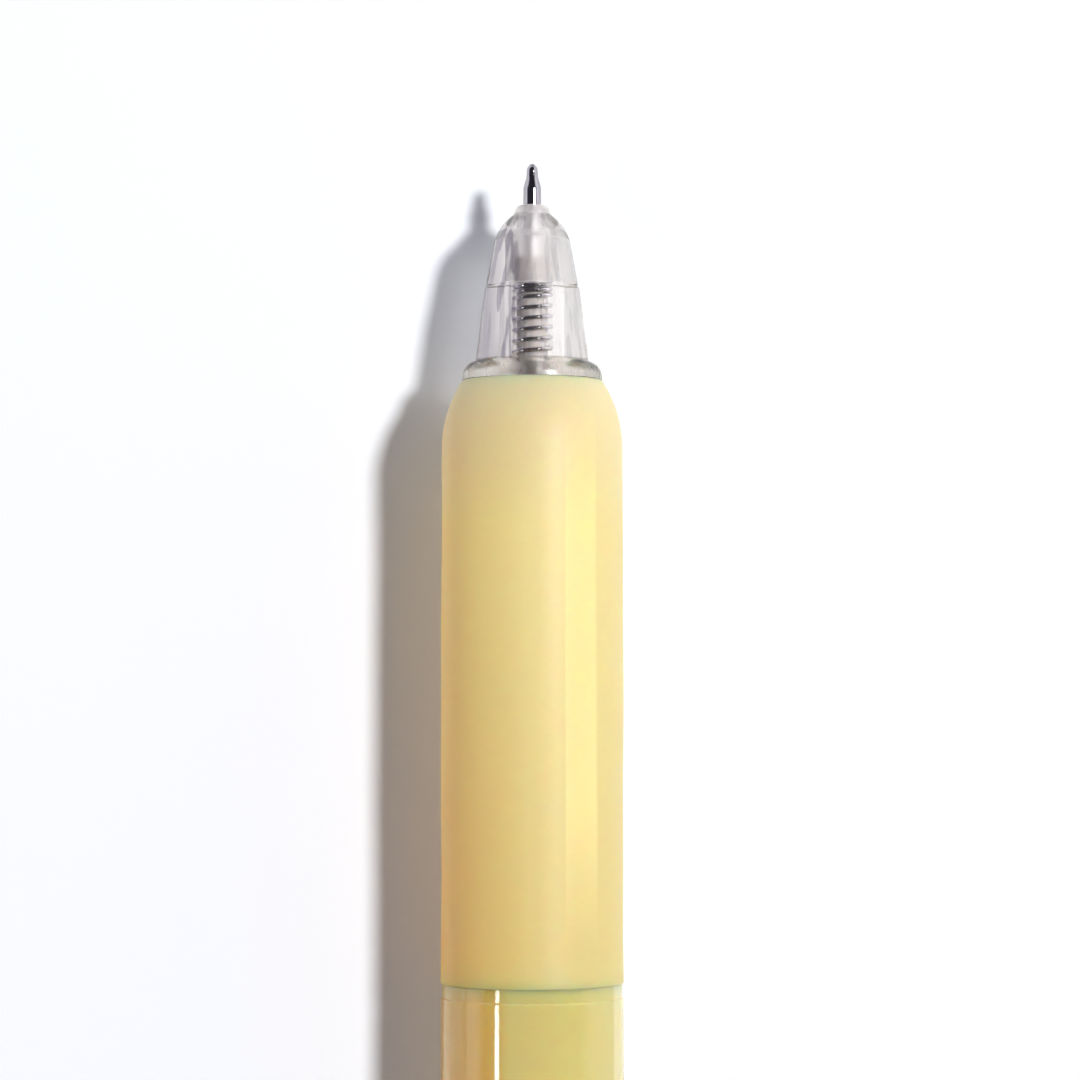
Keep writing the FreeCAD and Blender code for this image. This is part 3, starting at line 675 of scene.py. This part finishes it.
def soft_wave(s, r, angle):
    """A slow wave of 0.02 mm on the outer wall alone: sin of the station and of the angle, mixed."""
    outer = (r > 4.9) * np.clip((s - 15.6) / 3, 0, 1) * np.clip((58.5 - s) / 3, 0, 1)
    return 0.02 * outer * (np.sin(s * 0.21 + 2 * angle) + np.sin(s * 0.53 - angle) * 0.6 - 1.0)


silicone = new_finish("soft_silicone", silicone_shader)
straight = np.stack([np.linspace(21.5, 57.6, 24), np.full(24, 6.5), np.full(24, ROUND)], axis=1)
grip = turned("grip", [
    [(15.6, 4.55, 0.1)], arc((15.6, 5.0), (20.575, 6.5), 9.0, 14), straight,
    arc((58.4, 6.5), (58.5, 6.4), 0.1, 4), [(58.5, 4.55, 0.1)]], around=160, ripple=soft_wave)
settle(grip, "housing", "grip_sleeve", silicone)

# %% [markdown]
# ## The barrel
# The barrel is clear plastic coloured yellow and a little clouded, so its bore and the tube only shimmer
# through. Part of the light goes straight through and part scatters. The rim next to the grip is a
# hair narrower than the body, which catches a fine light line. The left side is painted deeper, as shade, up
# to where the edge of the bore would show through, and a thin pale strip painted along the right side stands
# for the wall's bright edge.

# %% Barrel
def barrel_shader(n):
    """A ramp of painted shade and light across the pen under a thin glossy coat, with slow waves in the
    surface.
    """
    cloud = n.noise(60, 3)
    waves = n.noise(300, 3, (1, 0.2, 1))
    # Painted shade and light: the left deeper up to where the bore's edge would show, a thin pale strip at
    # the right for the wall's bright edge.
    painted_side_shade = n.ramp(across(n), (0.0, "e9b455"), (0.3, "f0c76c"), (0.38, "ecdc90"), (0.7, "e2d589"),
                  (0.935, "d0c47a"), (0.95, "e6dca4"))
    return n.node("BsdfPrincipled", {}, {
        "Base Color": n.mix(cloud * 0.3, painted_side_shade, rgb("e8dc90")), "Roughness": 0.05 + 0.03 * waves, "IOR": 1.5,
        "Transmission Weight": 0.25, "Subsurface Weight": 1.0, "Subsurface Radius": (1.0, 0.6, 0.22),
        "Subsurface Scale": 0.002, "Coat Weight": 0.3, "Coat Roughness": 0.02, "Normal": n.bump(waves, 4e-6)})


tinted = new_finish("tinted_plastic", barrel_shader)
barrel = turned("barrel_shell", [[
    (15.6, 3.9, 0.1), (15.6, 4.5, 0.1), (58.5, 4.5, 0.1), (58.5, 6.42, 0.03), (59.43, 6.42, 0.04),
    (59.51, 6.5, 0.04), (122.0, 6.5, 0.12), (122.0, 5.3, 0.1), (112.0, 5.3, 0.1), (112.0, 3.87, 0.1),
    (58.93, 3.87, 0.12), (58.93, 3.4, 0.1), (22.05, 3.4, 0.1), (22.05, 3.9, 0.1)]], around=160)
settle(barrel, "housing", "barrel", tinted)

# %% [markdown]
# ## Rear cap and button
# The cap screws into the barrel and holds the clip's ring. It is clear, so the white cams show through it as
# a pale core. The button is the barrel's plastic, and its end is a dome with a flat face for the thumb.

# %% Rear cap and button
cap = turned("cap", [
    [(112.05, 3.87, 0.1), (112.05, 5.25, 0.15), (122.8, 5.25, 0.1), (122.8, 6.2, 0.1)],
    arc((122.85, 6.28), (123.05, 6.5), 0.25, 5), arc((131.5458, 6.5), (136.0, 4.9), 7.0, 14),
    [(136.0, 3.5, 0.1), (127.55, 3.5, 0.1), (127.55, 3.87, 0.05)]], around=160)
settle(cap, "housing", "rear_cap", clear)
button = turned("button", [
    [(138.95, 0.0, 0.0), (138.95, 2.6, 0.1), (128.45, 2.6, 0.05), (128.45, 3.2, 0.1), (128.7, 3.43, 0.1)],
    arc((142.8, 3.43), (144.0, 2.23), 1.2, 12), [(144.0, 0.0, 0.0)]], closed=False, around=128)
settle(button, "plunger", "push_button", tinted)

# %% [markdown]
# ## The clip
# The clip is a springy arm that bends down to the barrel and up again at its end, so that cloth slips under.
# Its side outline is carried across its width and drawn in a little towards both sides, so that the long
# edges are round. Its ring sits between the barrel and the cap.

# %% Clip
def bend(centre, radius, start, end, count):
    """Corners at (station, radius) = centre + radius (sin t, cos t), with t in degrees from start to end."""
    t = np.radians(np.linspace(start, end, count))
    corners = [centre[0] + radius * np.sin(t), centre[1] + radius * np.cos(t), np.full(count, ROUND)]
    return np.stack(corners, axis=1)


CLIP_WIDTH = 4.0
CLIP_EDGE = 0.3
CLIP_ANGLE = math.radians(59.4524 - 90)


def clip_arm(name, steps=6):
    """outline(u) is the arm's side, and point(u, k) = outline(u) - inset(k) * outward normal, moved sideways
    by width(k). inset = edge (1 - sin t) and width = half - edge (1 - cos t) round both long edges off."""
    outline, slopes = soft([
        bend((121.2, 7.8), 1.6, 0, 90, 10), [(122.8, 6.26, 0.05), (122.0, 6.26, 0.05)],
        bend((121.4, 7.5), 0.6, 90, 0, 6), bend((88.0, 10.2333), 3.6333, 146.6, 213.4, 12),
        bend((86.0, 7.85), 0.65, 180, 360, 12)], steps=3)
    slopes = slopes / np.hypot(*slopes.T)[:, None]
    outward = np.stack([-slopes[:, 1], slopes[:, 0]], axis=1)
    t = np.radians(np.linspace(0, 90, steps))
    inset = CLIP_EDGE * (1 - np.sin(np.concatenate([t, t[::-1]])))
    sideways = CLIP_WIDTH / 2 - CLIP_EDGE * (1 - np.cos(t))
    sideways = np.concatenate([-sideways, sideways[::-1]])[:, None]
    side = outline[None] - outward[None] * inset[:, None, None]
    flat = on_pen(side[..., 0], side[..., 1], CLIP_ANGLE)
    crosswise = np.array([-math.sin(CLIP_ANGLE), 0.0, math.cos(CLIP_ANGLE)])
    points = flat + sideways[..., None] * MM * crosswise
    rows, count = side.shape[:2]
    k, i = np.arange(rows - 1)[:, None] * count, np.arange(count)[None, :]
    following = (i + 1) % count
    corners = [k + i, k + count + i, k + count + following, k + following]
    faces = np.stack(np.broadcast_arrays(*corners), axis=-1).reshape(-1, 4).tolist()
    faces += [list(range(count)), list(range(rows * count - 1, (rows - 1) * count - 1, -1))]
    return new_piece(name, points.reshape(-1, 3), faces)


arm = clip_arm("clip_arm")
settle(arm, "housing", "clip", clear)
ring = turned("clip_ring", [[(122.0, 5.3, 0.05), (122.0, 6.3, 0.1), (122.8, 6.3, 0.1), (122.8, 5.3, 0.05)]])
settle(ring, "housing", "clip", clear)

# %% [markdown]
# ## Click mechanism
# The cams, their sleeve and the tube's tail plug are white mouldings that only shimmer through the cap.
# Their plain solids already have the right shape, so they only get a finish. The grease is clear gel.

# %% Inner mouldings
white = new_finish("white_moulding", lambda n: moulded_shader(n, rgb("f3f2ee"), rgb("e6e4de")))
grease = new_finish("clear_grease", lambda n: clear_shader(n, rgb("f6f0e0"), rough=0.08, shade=0.7))
for node in ("tail_plug", "cam_sleeve", "rotor_cam", "thrust_cam", "follower_grease"):
    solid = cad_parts[node]
    solid.data.materials.clear()
    solid.data.materials.append(grease if node == "follower_grease" else white)
    print(node, "is finished as", solid.data.materials[0].name)

# %% [markdown]
# ## Sizes and view
# The dressed pen must fill the same box as the plain solids; each piece above prints how far its box lies
# from its solid's. The picture uses the Standard view transform.

# %% View transform
scene.view_settings.view_transform = "Standard"
